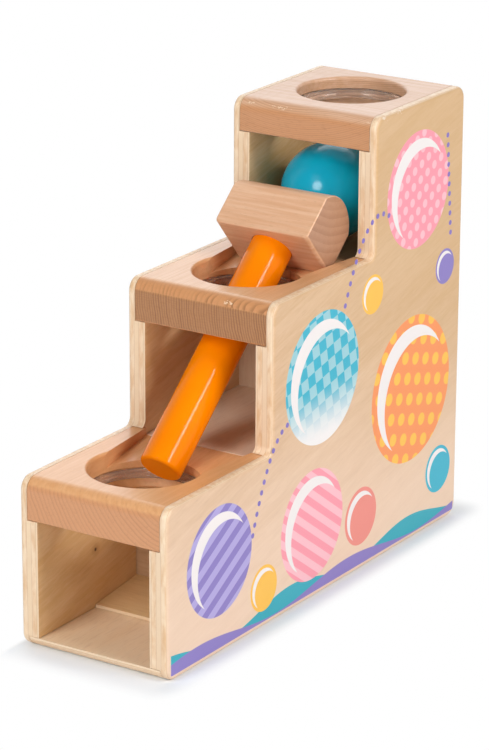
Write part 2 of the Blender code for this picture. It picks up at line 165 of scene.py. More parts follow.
class Wire:
    """A socket's value in a node tree, on which Python's operators add Math nodes."""

    __add__ = operator("ADD")
    __radd__ = operator("ADD", swapped=True)
    __sub__ = operator("SUBTRACT")
    __rsub__ = operator("SUBTRACT", swapped=True)
    __mul__ = operator("MULTIPLY")
    __rmul__ = operator("MULTIPLY", swapped=True)
    __truediv__ = operator("DIVIDE")
    __rtruediv__ = operator("DIVIDE", swapped=True)
    __pow__ = operator("POWER")
    __mod__ = operator("FLOORED_MODULO")
    __abs__ = operator("ABSOLUTE")
    __gt__ = operator("GREATER_THAN")
    __lt__ = operator("LESS_THAN")
    floor = operator("FLOOR")
    fraction = operator("FRACT")
    sine = operator("SINE")
    larger = operator("MAXIMUM")
    smaller = operator("MINIMUM")

    def __init__(self, nodes: "Nodes", socket: bpy.types.NodeSocket | None) -> None:
        """Keep the tree that the socket belongs to."""
        self.nodes = nodes
        self.socket = socket

    def rise(self, low: float, high: float) -> "Wire":
        """Go smoothly from zero to one.

        Args:
            low: Where the rise starts.
            high: Where it ends; below low, the value falls instead.

        Returns:
            The smooth step.
        """
        limits = {0: self, 1: min(low, high), 2: max(low, high)}
        step = self.nodes.node("ShaderNodeMapRange", {"interpolation_type": "SMOOTHSTEP"}, limits)
        return step if low < high else 1 - step

    def near(self, place: float, width: float) -> "Wire":
        """One at a place, falling smoothly to zero at a width from it."""
        return abs(self - place).rise(width, 0.0)

    def within(self, limit: float) -> "Wire":
        """One below a limit and zero above it, with the edge of a print."""
        return self.rise(limit + INK_EDGE, limit - INK_EDGE)

    def output(self, name: str) -> "Wire":
        """Another output of the same node."""
        return Wire(self.nodes, self.socket.node.outputs[name])


def length(*parts: Wire) -> Wire:
    """Length of a line from its parts along axes that are square to each other."""
    squares = [part * part for part in parts]
    return sum(squares[1:], squares[0]) ** 0.5


class Nodes:
    """A node tree, to which one method adds every node."""

    def __init__(self, tree: bpy.types.NodeTree) -> None:
        """Take over a tree."""
        self.tree = tree

    def node(
        self,
        kind: str,
        settings: dict[str, Any] | None = None,
        sockets: dict[int | str, Any] | None = None,
        output: int | str = 0,
    ) -> Wire:
        """Add a node, set it, and then link or set its sockets.

        Args:
            kind: Blender's type name of the node.
            settings: The node's own settings, such as an operation.
            sockets: Values or wires for its inputs, by name or number.
            output: Which output to return.

        Returns:
            That output, which is empty on a node that has none.
        """
        made = self.tree.nodes.new(kind)
        adjust(made, settings or {})
        for key, value in (sockets or {}).items():
            if isinstance(value, Wire):
                self.tree.links.new(value.socket, made.inputs[key])
            else:
                made.inputs[key].default_value = value
        return Wire(self, made.outputs[output] if len(made.outputs) else None)


class Shading(Nodes):
    """The node tree of one material or of the world, which a finish or the studio fills in."""

    def __init__(self, name: str, world: bool = False) -> None:
        """Start a tree with its coordinates ready as x, y and z.

        Args:
            name: The name of the material or world.
            world: Whether it is a world, whose coordinates are directions.
        """
        self.owner = (bpy.data.worlds if world else bpy.data.materials).new(name)
        self.owner.use_nodes = True
        super().__init__(self.owner.node_tree)
        self.tree.nodes.clear()
        self.last = "ShaderNodeOutputWorld" if world else "ShaderNodeOutputMaterial"
        self.place = self.node("ShaderNodeTexCoord", output="Generated" if world else "Object")
        self.x = self.node("ShaderNodeSeparateXYZ", {}, {0: self.place}, "X")
        self.y = self.x.output("Y")
        self.z = self.x.output("Z")

    def axis(self, axis: Axis) -> Wire:
        """The coordinate along an axis."""
        return (self.x, self.y, self.z)[axis.value]

    def offsets(self, point: Point, axes: Sequence[Axis] = tuple(Axis)) -> list[Wire]:
        """How far the surface lies from a point along each axis."""
        return [self.axis(axis) - point[axis.value] for axis in axes]

    def facing(self, axis: Axis) -> Wire:
        """How squarely the surface faces along an axis, from 0 to 1."""
        normal = self.node("ShaderNodeTexCoord", output="Normal")
        return abs(self.node("ShaderNodeSeparateXYZ", {}, {0: normal}, axis.name))

    def noise(
        self,
        scale: Point,
        detail: float,
        shift: float = 0.0,
        tilt: float = 0.0,
        roughness: float = 0.5,
        bend: float = 0.0,
    ) -> Wire:
        """Soft noise from 0 to 1.

        Args:
            scale: Scale along X, Y and Z.
            detail: How many finer layers it has.
            shift: How far the pattern is moved, for another piece of the same wood.
            tilt: How far it is turned about X, in degrees.
            roughness: How strong the finer layers are.
            bend: How much the pattern is bent.

        Returns:
            The noise.
        """
        turn = {"Vector": self.place, "Rotation": (math.radians(tilt), 0.0, 0.0)}
        turned_place = self.node("ShaderNodeMapping", {}, turn)
        stretch = {"Vector": turned_place, "Scale": scale, "Location": (shift, shift, shift)}
        sockets = {
            "Vector": self.node("ShaderNodeMapping", {}, stretch),
            "Scale": 1.0,
            "Detail": detail,
            "Roughness": roughness,
            "Distortion": bend,
        }
        return self.node("ShaderNodeTexNoise", {}, sockets, "Fac")

    def rays(self) -> tuple[Wire, Wire]:
        """One on what the camera sees, and one on what is seen in or through a piece."""
        camera = self.node("ShaderNodeLightPath", output="Is Camera Ray")
        return camera, camera.output("Is Glossy Ray").larger(camera.output("Is Transmission Ray"))

    def lot(self, count: Wire) -> Wire:
        """A random value from 0 to 1 for each whole number of a count."""
        return self.node("ShaderNodeTexWhiteNoise", {"noise_dimensions": "1D"}, {"W": count.floor()})

    def mix(self, share: Wire | float, first: Wire | Colour, second: Wire | Colour) -> Wire:
        """Mix two colours.

        Args:
            share: How much of the second there is.
            first: The first colour.
            second: The second colour.

        Returns:
            The mixed colour.
        """
        colours = [value if isinstance(value, Wire) else (*value, 1.0) for value in (first, second)]
        settings = {"data_type": "RGBA", "clamp_factor": True}
        return self.node("ShaderNodeMix", settings, {0: share, 6: colours[0], 7: colours[1]}, 2)

    def bump(self, height: Wire, distance: float) -> Wire:
        """A surface normal from a height, about from 0 to 1, that is so many metres deep."""
        sockets = {"Height": height, "Distance": distance, "Strength": 1.0}
        return self.node("ShaderNodeBump", {}, sockets)

    def mix_shaders(self, share: Wire, first: Wire, second: Wire) -> Wire:
        """Two shaders, with a share of the second."""
        return self.node("ShaderNodeMixShader", {}, {0: share, 1: first, 2: second})

    def close(self, shader: Wire) -> bpy.types.ID:
        """Link a shader to the tree's output and return the material or world."""
        self.node(self.last, {}, {"Surface": shader})
        return self.owner

    def surface(self, **sockets: Any) -> Material:
        """Close the tree with a Principled shader; underscores in its inputs' names are spaces."""
        named = {name.replace("_", " "): value for name, value in sockets.items()}
        return self.close(self.node("ShaderNodeBsdfPrincipled", {}, named))

    def lacquered(self, colour: Wire, roughness: Wire, relief: Wire, coat: float) -> Material:
        """Close the tree with wood under clear lacquer.

        Args:
            colour: The wood's colour.
            roughness: Its roughness.
            relief: Its normal.
            coat: How strong the lacquer is.

        Returns:
            The material.
        """
        return self.surface(
            Base_Color=colour,
            Roughness=roughness,
            Normal=relief,
            Coat_Weight=coat,
            Coat_Roughness=LACQUER_ROUGHNESS,
        )


@dataclass(frozen=True)
class Grain:
    """Noise that is drawn out along the grain, by its scale along and across it."""

    along: float
    across: float
    detail: float
    roughness: float = 0.5
    bend: float = 0.0

    def noise(self, shading: Shading, axis: Axis, shift: float, tilt: float = 0.0) -> Wire:
        """Add the noise.

        Args:
            shading: The tree to add to.
            axis: The axis that the grain runs along.
            shift: How far the pattern is moved.
            tilt: How far it is turned about X, in degrees.

        Returns:
            The noise.
        """
        scale = [self.along if other is axis else self.across for other in Axis]
        return shading.noise(
            (scale[0], scale[1], scale[2]), self.detail, shift, tilt, self.roughness, self.bend
        )


PLY_STREAKS = Grain(7.0, 120.0, 4.0, 0.55, 0.35)
PLY_CLOUDS = Grain(4.0, 22.0, 2.0, 0.55, 0.35)
PLY_FLECKS = Grain(70.0, 620.0, 2.0, 0.55, 0.35)
PLY_PORES = Grain(110.0, 2100.0, 1.0, 0.55, 0.35)
PLY_CORE = Grain(9.0, 330.0, 3.0, 0.55, 0.35)
BEECH_WANDER = Grain(9.0, 55.0, 2.0)
BEECH_STREAKS = Grain(22.0, 420.0, 3.0)
BEECH_FLECKS = Grain(260.0, 1500.0, 1.0)


@dataclass(frozen=True)
class Chip:
    """A spot on an edge where the lacquer has worn off."""

    place: Point
    length: float
    width: float


@dataclass(frozen=True)
class Wear:
    """Pale specks on worn spots."""

    chips: tuple[Chip, ...] = ()
    scale: Point = (700.0, 1100.0, 1100.0)
    strength: float = 0.85
    pale: Colour = srgb(244, 216, 184)
    thinning: float = 0.16

    def draw(self, shading: Shading, colour: Wire, shift: float) -> Wire:
        """Scatter the specks over what is there.

        Args:
            shading: The tree to add to.
            colour: What is there so far.
            shift: How far their pattern is moved.

        Returns:
            The colour with the specks on it.
        """
        specks = shading.noise(self.scale, 2.0, shift)
        for chip in self.chips:
            along, back, up = shading.offsets(chip.place)
            reach = length(along / chip.length, back / chip.width, up / chip.width)
            bare = (specks - reach * self.thinning).rise(0.42, 0.48)
            colour = shading.mix(bare * self.strength, colour, self.pale)
        return colour


@dataclass(frozen=True)
class Plywood:
    """Clear-lacquered plywood: face veneers over crossed plies that show at the edges."""

    name: str
    stack: Axis
    start: float
    thickness: float
    grain: Axis
    mirrored: bool = False
    plies: tuple[float, ...] = (0.1, 0.37, 0.63, 0.9)
    ply_blur: float = 0.004
    glue_width: float = 0.013
    tilt: float = 0.0
    shift: float = 0.0
    pale: Colour = srgb(229, 193, 158)
    deep: Colour = srgb(213, 172, 130)
    core: Colour = srgb(230, 190, 146)
    edge: Colour = srgb(250, 226, 196)
    glue: Colour = srgb(186, 140, 96)
    pore: Colour = srgb(176, 128, 84)
    fleck: float = 0.16
    knot: Point | None = None
    knot_ring: Colour = srgb(170, 118, 70)
    knot_heart: Colour = srgb(84, 52, 28)
    knot_ring_reach: Flat = (0.006, 0.001)
    knot_heart_reach: Flat = (0.0015, 0.0006)
    grain_depth: float = 0.00005
    coat: float = 0.15

    def on_face(self, shading: Shading) -> Wire:
        """One on the board's faces, and zero on its edges."""
        return shading.facing(self.stack).rise(0.45, 0.85)

    def layers(self, shading: Shading) -> tuple[Wire, Wire, Wire]:
        """Lay the veneers, the plies and the glue lines between them.

        Args:
            shading: The tree to add to.

        Returns:
            Colour, roughness and normal.
        """
        depth = shading.axis(self.stack)
        if self.mirrored:
            depth = abs(depth)
        layer = (depth - self.start) / self.thickness
        crossed = layer * 0.0
        lines = layer * 0.0
        for index, place in enumerate(self.plies):
            step = layer.rise(place - self.ply_blur, place + self.ply_blur)
            crossed = crossed - step if index % 2 else crossed + step
            lines = lines + layer.near(place, self.glue_width)
        lines = lines.smaller(1.0)
        streaks, clouds, flecks, pores = (
            grain.noise(shading, self.grain, self.shift, self.tilt)
            for grain in (PLY_STREAKS, PLY_CLOUDS, PLY_FLECKS, PLY_PORES)
        )
        pores = pores.rise(0.62, 0.78)
        crossing = next(axis for axis in Axis if axis not in (self.stack, self.grain))
        core_streaks = PLY_CORE.noise(shading, crossing, self.shift, self.tilt)
        tone = streaks.rise(0.3, 0.72) * 0.55 + clouds.rise(0.3, 0.7) * 0.45
        face = shading.mix(tone, self.pale, self.deep)
        face = shading.mix(flecks.rise(0.5, 0.75) * self.fleck, face, self.pore)
        face = shading.mix(flecks.rise(0.5, 0.3) * self.fleck * 0.8, face, self.edge)
        face = shading.mix(pores * 0.2, face, self.pore)
        inside = shading.mix(core_streaks.rise(0.25, 0.75), self.edge, self.core)
        on_face = self.on_face(shading)
        at_edge = 1 - on_face
        veneer = shading.mix(at_edge * 0.7, face, self.edge)
        colour = shading.mix(crossed, veneer, inside)
        colour = shading.mix(lines * 0.7, colour, self.glue)
        if self.knot:
            away = length(*shading.offsets(self.knot))
            colour = shading.mix(away.rise(*self.knot_ring_reach) * 0.45, colour, self.knot_ring)
            colour = shading.mix(away.rise(*self.knot_heart_reach), colour, self.knot_heart)
        open_pores = pores * on_face
        roughness = 0.36 + streaks * 0.08 + open_pores * 0.1
        height = 1 - open_pores * 0.7 - lines * at_edge * 0.5
        return colour, roughness, shading.bump(height, self.grain_depth)

    def material(self) -> Material:
        """Make the finish."""
        shading = Shading(self.name)
        return shading.lacquered(*self.layers(shading), self.coat)


PINK = srgb(250, 152, 168)
PALE_PINK = srgb(252, 190, 200)
ORANGE = srgb(248, 146, 78)
YELLOW = srgb(252, 192, 62)
TURQUOISE = srgb(28, 176, 202)
PALE_TURQUOISE = srgb(152, 206, 216)
DEEP_TURQUOISE = srgb(0, 168, 186)
PURPLE = srgb(134, 118, 192)
PALE_PURPLE = srgb(176, 164, 220)
GROUND_PURPLE = srgb(136, 120, 194)
SALMON = srgb(238, 138, 125)
SHINE_WHITE = srgb(243, 236, 234)
FADE_WHITE = srgb(244, 240, 238)


@dataclass(frozen=True)
class PrintedBall:
    """One ball of the print, placed by its distance from the tower's front and from the ground."""

    place: Flat
    radius: float
    colour: Colour
    second: Colour | None = None
    pattern: Pattern = Pattern.PLAIN
    pitch: float = 0.009
    turn: float = 0.0
    fade: bool = False
    shine_reach: float = 0.86
    shine_hollow: float = 0.84
    shine_shift: float = 0.17

    def fill(self, y: Wire, z: Wire) -> Wire:
        """How much of the second colour the pattern has.

        Args:
            y: Distance from the ball's middle along the panel.
            z: Distance from the ball's middle upwards.

        Returns:
            The share of the second colour.
        """
        cosine = math.cos(math.radians(self.turn))
        sine = math.sin(math.radians(self.turn))
        across = (y * cosine + z * sine) / self.pitch
        up = (z * cosine - y * sine) / self.pitch
        if self.pattern is Pattern.DOTS:
            staggered = across + (up.floor() % 2.0) * 0.5
            return length(staggered.fraction() - 0.5, up.fraction() - 0.5).rise(0.33, 0.29)
        if self.pattern is Pattern.CHECKS:
            return (across.floor() + up.floor()) % 2.0
        return up.fraction().rise(0.49, 0.51)

    def draw(self, shading: Shading, colour: Wire, y: Wire, z: Wire) -> Wire:
        """Print the ball over what is there.

        Args:
            shading: The tree to add to.
            colour: What is printed so far.
            y: Distance from the tower's front.
            z: Height.

        Returns:
            The colour with the ball on it.
        """
        y = y - self.place[0]
        z = z - self.place[1]
        ink: Wire | Colour = self.colour
        if self.second:
            ink = shading.mix(self.fill(y, z), self.colour, self.second)
        if self.fade:
            ink = shading.mix(z.rise(-0.1 * self.radius, -0.95 * self.radius), ink, FADE_WHITE)
        shift = self.shine_shift * self.radius
        hollow = length(y - shift, z + shift).within(self.shine_hollow * self.radius)
        reach = length(y, z)
        shine = reach.within(self.shine_reach * self.radius) * (1 - hollow)
        ink = shading.mix(shine, ink, SHINE_WHITE)
        return shading.mix(reach.within(self.radius), colour, ink)


@dataclass(frozen=True)
class PrintedHills:
    """Rolling ground at the foot of the print."""

    colour: Colour
    height: float
    swell: float
    pace: float
    start: float

    def draw(self, shading: Shading, colour: Wire, y: Wire, z: Wire) -> Wire:
        """Print the ground over what is there, as a ball is printed."""
        top = self.height + (y * self.pace + self.start).sine() * self.swell
        return shading.mix((z - top).within(0.0), colour, self.colour)


PRINT = (
    PrintedHills(DEEP_TURQUOISE, 0.011, 0.005, 47.0, 1.9),
    PrintedBall((0.266, 0.222), 0.036, PINK, PALE_PINK, Pattern.DOTS, 0.0085, 20.0),
    PrintedBall((0.160, 0.134), 0.040, TURQUOISE, PALE_TURQUOISE, Pattern.CHECKS, 0.0075, 12.0, True),
    PrintedBall((0.262, 0.098), 0.046, ORANGE, YELLOW, Pattern.DOTS, 0.0125, -15.0),
    PrintedBall((0.052, 0.056), 0.033, PURPLE, PALE_PURPLE, Pattern.STRIPES, 0.0100, 30.0),
    PrintedBall((0.150, 0.046), 0.034, PINK, PALE_PINK, Pattern.STRIPES, 0.0090, -35.0),
    PrintedBall((0.205, 0.034), 0.018, SALMON),
    PrintedBall((0.098, 0.024), 0.014, YELLOW),
    PrintedBall((0.215, 0.170), 0.012, YELLOW),
    PrintedBall((0.297, 0.036), 0.015, TURQUOISE),
    PrintedBall((0.300, 0.166), 0.011, PURPLE),
    PrintedHills(GROUND_PURPLE, 0.008, 0.004, 39.0, 0.4),
)


@dataclass(frozen=True)
class PrintedPlywood(Plywood):
    """Plywood with a generic print of bouncing balls on its outer face, and painted light on that face: a
    painted sheen low at the front and painted shade high at the back.
    """

    node: str = "right_side_panel"
    margin: float = 0.0032
    skin: Flat = (0.0002, 0.0001)
    # painted sheen: the outer face is made lighter and pinker towards the front bottom
    painted_sheen_colour: Colour = srgb(250, 222, 200)
    painted_sheen_span: Flat = (0.15, 0.01)
    # painted shade: the outer face is made darker and yellower towards the top and back
    painted_shade_colour: Colour = srgb(208, 167, 108)
    painted_shade_span: Flat = (0.15, 0.55)
    painted_light_share: float = 0.6
    wear: Wear = Wear()

    def material(self) -> Material:
        """Make the finish.

        Returns:
            The material.
        """
        shading = Shading(self.name)
        colour, roughness, relief = self.layers(shading)
        low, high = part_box(self.node)
        y = shading.y - low.y
        z = shading.z
        # painted light on the outer face: painted shade towards the top and back, then a painted sheen
        # towards the front bottom
        painted_light_mask = self.on_face(shading) * self.painted_light_share
        colour = shading.mix((y + z).rise(*self.painted_shade_span) * painted_light_mask, colour, self.painted_shade_colour)
        colour = shading.mix(z.rise(*self.painted_sheen_span) * painted_light_mask, colour, self.painted_sheen_colour)
        inked = colour
        for motif in PRINT:
            inked = motif.draw(shading, inked, y, z)
        outside = shading.x.rise(high.x - self.skin[0], high.x - self.skin[1])
        framed = (z > self.margin) * (y > self.margin) * (y < high.y - low.y - self.margin)
        colour = shading.mix(outside * framed, colour, inked)
        colour = self.wear.draw(shading, colour, self.shift)
        return shading.lacquered(colour, roughness, relief, self.coat)


@dataclass(frozen=True)
class Beech:
    """Solid beech under clear lacquer, with growth rings that curve about a line."""

    name: str
    grain: Axis
    face: Axis
    centre: Point
    pitch: float
    waviness: float
    strength: float
    shift: float = 0.0
    late_share: float = 0.5
    rays: float = 0.0
    ray_pitch: float = 0.0016
    ray_wander: float = 0.008
    face_edge: Flat = (0.80, 0.96)
    face_until: float | None = None
    nosing: float = 0.0
    stroke_pitch: float = 0.0
    stroke_crowding: float = 5.0
    stroke_lean: float = 0.0028
    stroke_fan: float = 0.08
    stroke_wander: float = 2.8
    coat: float = 0.5
    grain_depth: float = 0.00006
    pale: Colour = srgb(235, 180, 128)
    deep: Colour = srgb(220, 157, 102)
    late: Colour = srgb(166, 108, 66)
    front: Colour = srgb(210, 148, 103)
    nosing_tone: Colour = srgb(216, 154, 102)
    wear: Wear = Wear()

    def strokes(self, shading: Shading, colour: Wire, facing: Wire, wander: Wire) -> Wire:
        """Draw the ends of the late wood up over the rounded nosing.

        Args:
            shading: The tree to add to.
            colour: What is there so far.
            facing: How squarely the surface faces the front.
            wander: Noise that makes the strokes uneven.

        Returns:
            The colour with the strokes on it.
        """
        across = shading.x - shading.x * shading.x * self.stroke_crowding
        lean = (1 - facing) * (self.stroke_lean + shading.x * self.stroke_fan)
        count = (across - lean) / self.stroke_pitch + wander * self.stroke_wander
        saw = count.fraction()
        strength = 0.1 + shading.lot(count) * (0.7 + shading.x * 9.0)
        stroke = saw.rise(0.3, 0.88) * saw.rise(1.0, 0.9) * strength
        on_nosing = facing.rise(0.15, 0.5) * facing.rise(*reversed(self.face_edge))
        colour = shading.mix(on_nosing * 0.8, colour, self.nosing_tone)
        return shading.mix(stroke * on_nosing * facing.rise(0.3, 0.95) * 0.75, colour, self.late)

    def material(self) -> Material:
        """Make the finish.

        Returns:
            The material.
        """
        shading = Shading(self.name)
        wander, streaks, flecks = (
            grain.noise(shading, self.grain, self.shift)
            for grain in (BEECH_WANDER, BEECH_STREAKS, BEECH_FLECKS)
        )
        reach = length(*shading.offsets(self.centre, [axis for axis in Axis if axis is not self.face]))
        count = reach / self.pitch + (wander - 0.5) * self.waviness
        saw = count.fraction()
        line = saw.rise(1.0 - self.late_share, 0.92) * saw.rise(1.0, 0.93)
        line = line * (0.5 + shading.lot(count) * 0.7)
        facing = shading.facing(self.face)
        at_face = facing.rise(*self.face_edge)
        if self.face_until is not None:
            at_face = at_face * (shading.y < self.face_until)
        ringed = line * (0.1 + at_face.larger(facing.rise(0.3, 0.6) * self.nosing) * 0.9)
        colour = shading.mix(streaks.rise(0.3, 0.7) * 0.5 + wander * 0.5, self.pale, self.deep)
        colour = shading.mix(at_face * 0.85, colour, self.front)
        colour = shading.mix(ringed * self.strength, colour, self.late)
        if self.stroke_pitch:
            colour = self.strokes(shading, colour, facing, wander)
        if self.rays:
            ray = ((shading.z + wander * self.ray_wander) / self.ray_pitch).fraction().near(0.5, 0.4)
            colour = shading.mix(ray * at_face * streaks.rise(0.35, 0.6) * self.rays, colour, self.late)
        colour = shading.mix(flecks.rise(0.6, 0.72) * (0.12 + at_face * 0.15), colour, self.late)
        colour = self.wear.draw(shading, colour, self.shift)
        roughness = 0.36 + streaks * 0.1 + line * 0.05
        height = 1 - ringed * 0.5 - flecks.rise(0.6, 0.75) * 0.5
        return shading.lacquered(colour, roughness, shading.bump(height, self.grain_depth), self.coat)


@dataclass(frozen=True)
class Lacquer:
    """Gloss colour lacquer on turned wood."""

    name: str
    colour: Colour
    deep: Colour
    roughness: float = 0.1
    gloss: float = 0.14
    coat: float = 0.06
    coat_roughness: float = 0.05
    cloud_scale: float = 45.0
    ripple_scale: float = 420.0
    speck_scale: float = 2600.0
    ripple_depth: float = 0.000006

    def material(self) -> Material:
        """Make the finish.

        Returns:
            The material.
        """
        shading = Shading(self.name)
        clouds = shading.noise((self.cloud_scale,) * 3, 2.0)
        ripple = shading.noise((self.ripple_scale,) * 3, 1.0)
        specks = shading.noise((self.speck_scale,) * 3, 0.0).rise(0.74, 0.8)
        return shading.surface(
            Base_Color=shading.mix(clouds.rise(0.3, 0.75), self.colour, self.deep),
            Roughness=self.roughness + clouds * 0.04 + specks * 0.1,
            Normal=shading.bump(ripple + specks * 0.2, self.ripple_depth),
            Specular_IOR_Level=self.gloss,
            Coat_Weight=self.coat,
            Coat_Roughness=self.coat_roughness,
        )


@dataclass(frozen=True)
class ClearRing:
    """Clear springy plastic, a little grey and scuffed."""

    name: str
    clear: Colour = srgb(240, 234, 228)
    scuffed: Colour = srgb(224, 216, 208)
    scuff_scale: Point = (160.0, 160.0, 900.0)
    scuff_depth: float = 0.000008
    cover: float = 0.82
    clearness: float = 0.9
    bending: float = 1.35

    def material(self) -> Material:
        """Make the finish.

        Returns:
            The material.
        """
        shading = Shading(self.name)
        scuffs = shading.noise(self.scuff_scale, 3.0)
        return shading.surface(
            Base_Color=shading.mix(scuffs.rise(0.4, 0.75), self.clear, self.scuffed),
            Roughness=0.1 + scuffs.rise(0.4, 0.8) * 0.2,
            Normal=shading.bump(scuffs, self.scuff_depth),
            Alpha=self.cover,
            Transmission_Weight=self.clearness,
            IOR=self.bending,
        )


def arc(centre: Flat, radius: float, start: float, end: float, steps: int) -> list[Flat]:
    """Points of an arc.

    Args:
        centre: Its centre.
        radius: Its radius.
        start: The first point's angle, in degrees.
        end: The last point's angle, in degrees.
        steps: How many steps it has.

    Returns:
        The points, with both ends.
    """
    points = []
    for index in range(steps + 1):
        angle = math.radians(start + (end - start) * index / steps)
        points.append((centre[0] + radius * math.cos(angle), centre[1] + radius * math.sin(angle)))
    return points


def rounded(corners: Sequence[tuple[float, float, float]], steps: int = 14) -> list[Flat]:
    """Round the corners of a closed outline.

    Args:
        corners: Each corner's two coordinates and its radius.
        steps: How many steps an arc has.

    Returns:
        The outline's points.
    """
    points: list[Flat] = []
    for index, (first, second, radius) in enumerate(corners):
        here = Vector((first, second))
        before = (Vector(corners[index - 1][:2]) - here).normalized()
        after = (Vector(corners[(index + 1) % len(corners)][:2]) - here).normalized()
        opening = before.angle(after)
        centre = here + (before + after).normalized() * (radius / math.sin(opening / 2))
        start = here + before * (radius / math.tan(opening / 2)) - centre
        end = here + after * (radius / math.tan(opening / 2)) - centre
        from_angle = math.degrees(math.atan2(start.y, start.x))
        turn = (math.degrees(math.atan2(end.y, end.x)) - from_angle + 180.0) % 360.0 - 180.0
        points += arc((centre.x, centre.y), radius, from_angle, from_angle + turn, steps)
    return points


def prism(outline: Sequence[Flat], x_from: float, x_to: float) -> bmesh.types.BMesh:
    """Stand an outline of (y, z) points up between two X values.

    Args:
        outline: The closed outline.
        x_from: One end.
        x_to: The other end.

    Returns:
        The solid.
    """
    work = bmesh.new()
    near, far = ([work.verts.new((x, y, z)) for y, z in outline] for x in sorted((x_from, x_to)))
    work.faces.new(near)
    work.faces.new(list(reversed(far)))
    for index in range(len(outline)):
        after = (index + 1) % len(outline)
        work.faces.new((near[after], near[index], far[index], far[after]))
    bmesh.ops.recalc_face_normals(work, faces=work.faces)
    return work


def turned(profile: Sequence[Flat], steps: int) -> bmesh.types.BMesh:
    """Turn a profile of (radius, height) points about Z; a radius of zero is a pole.

    Args:
        profile: The profile, from one pole to the other.
        steps: How many steps the turn has.

    Returns:
        The solid.
    """
    work = bmesh.new()
    rings: list[list[bmesh.types.BMVert]] = []
    for radius, height in profile:
        if radius < MERGE:
            rings.append([work.verts.new((0.0, 0.0, height))] * steps)
            continue
        circle = arc((0.0, 0.0), radius, 0.0, 360.0, steps)[:-1]
        rings.append([work.verts.new((x, y, height)) for x, y in circle])
    for upper, lower in zip(rings, rings[1:]):
        for step in range(steps):
            after = (step + 1) % steps
            corners = [upper[step], upper[after], lower[after], lower[step]]
            work.faces.new(list(dict.fromkeys(corners)))
    return work


def round_edges(work: bmesh.types.BMesh, edges: list[bmesh.types.BMEdge], radius: float) -> None:
    """Round some edges of a solid."""
    bmesh.ops.bevel(work, geom=edges, offset=radius, segments=EDGE_STEPS, profile=0.5, affect="EDGES")


def new_object(name: str, mesh: bpy.types.Mesh) -> Object:
    """Link a mesh to the scene as an object at the origin.

    Args:
        name: The object's name.
        mesh: The mesh.

    Returns:
        The object.
    """
    item = bpy.data.objects.new(name, mesh)
    bpy.context.scene.collection.objects.link(item)
    return item


def solid(name: str, work: bmesh.types.BMesh) -> Object:
    """Merge a solid, turn it outwards and make it an object.

    Args:
        name: The object's name.
        work: The solid as built; it is freed.

    Returns:
        The object.
    """
    bmesh.ops.remove_doubles(work, verts=work.verts, dist=MERGE)
    bmesh.ops.recalc_face_normals(work, faces=work.faces)
    mesh = bpy.data.meshes.new(name)
    work.to_mesh(mesh)
    work.free()
    return new_object(name, mesh)


@contextmanager
def opened(item: Object) -> Iterator[bmesh.types.BMesh]:
    """Open an object's mesh for a change, and store it at the end.

    Args:
        item: The object.

    Yields:
        The open mesh.
    """
    work = bmesh.new()
    work.from_mesh(item.data)
    yield work
    work.to_mesh(item.data)
    work.free()


def modify(item: Object, kind: str, **settings: Any) -> bpy.types.Modifier:
    """Give an object a modifier.

    Args:
        item: The object.
        kind: Blender's type name of the modifier.
        settings: The modifier's settings.

    Returns:
        The modifier.
    """
    modifier = item.modifiers.new(kind.lower(), kind)
    adjust(modifier, settings)
    return modifier


def settle(item: Object) -> None:
    """Turn an object's modifiers into plain mesh.

    Args:
        item: The object.
    """
    bpy.context.view_layer.update()
    graph = bpy.context.evaluated_depsgraph_get()
    mesh = bpy.data.meshes.new_from_object(
        item.evaluated_get(graph), preserve_all_data_layers=True, depsgraph=graph
    )
    mesh.name = item.name
    item.modifiers.clear()
    item.data = mesh


def carve(item: Object, cutters: Sequence[Object]) -> None:
    """Cut solids out of an object and remove them.

    Args:
        item: The object.
        cutters: The solids.
    """
    for cutter in cutters:
        modify(item, "BOOLEAN", operation="DIFFERENCE", solver="EXACT", object=cutter)
    settle(item)
    for cutter in cutters:
        bpy.data.objects.remove(cutter, do_unlink=True)


def soften(item: Object) -> None:
    """Clear an object of slivers and shade its curves smooth.

    Args:
        item: The object.
    """
    with opened(item) as work:
        bmesh.ops.dissolve_degenerate(work, edges=work.edges, dist=MERGE)
    item.data.shade_smooth()
    item.data.set_sharp_from_angle(angle=SHARP)
    modify(item, "WEIGHTED_NORMAL", keep_sharp=True, weight=FLAT_WEIGHT)
    settle(item)


def put(item: Object, material: Material, body: str, slot: str, *nodes: str) -> None:
    """Dress a piece, tie it to its body and let it stand for its CAD nodes.

    Args:
        item: The piece.
        material: Its finish.
        body: The CAD body that it moves with.
        slot: The record's material slot of its finish; not used.
        nodes: The CAD nodes that it replaces.
    """
    item.data.materials.clear()
    item.data.materials.append(material)
    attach(item, body)
    if nodes:
        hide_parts(*nodes)
    LOG.info("%s: %d faces, rides on %s", item.name, len(item.data.polygons), body)


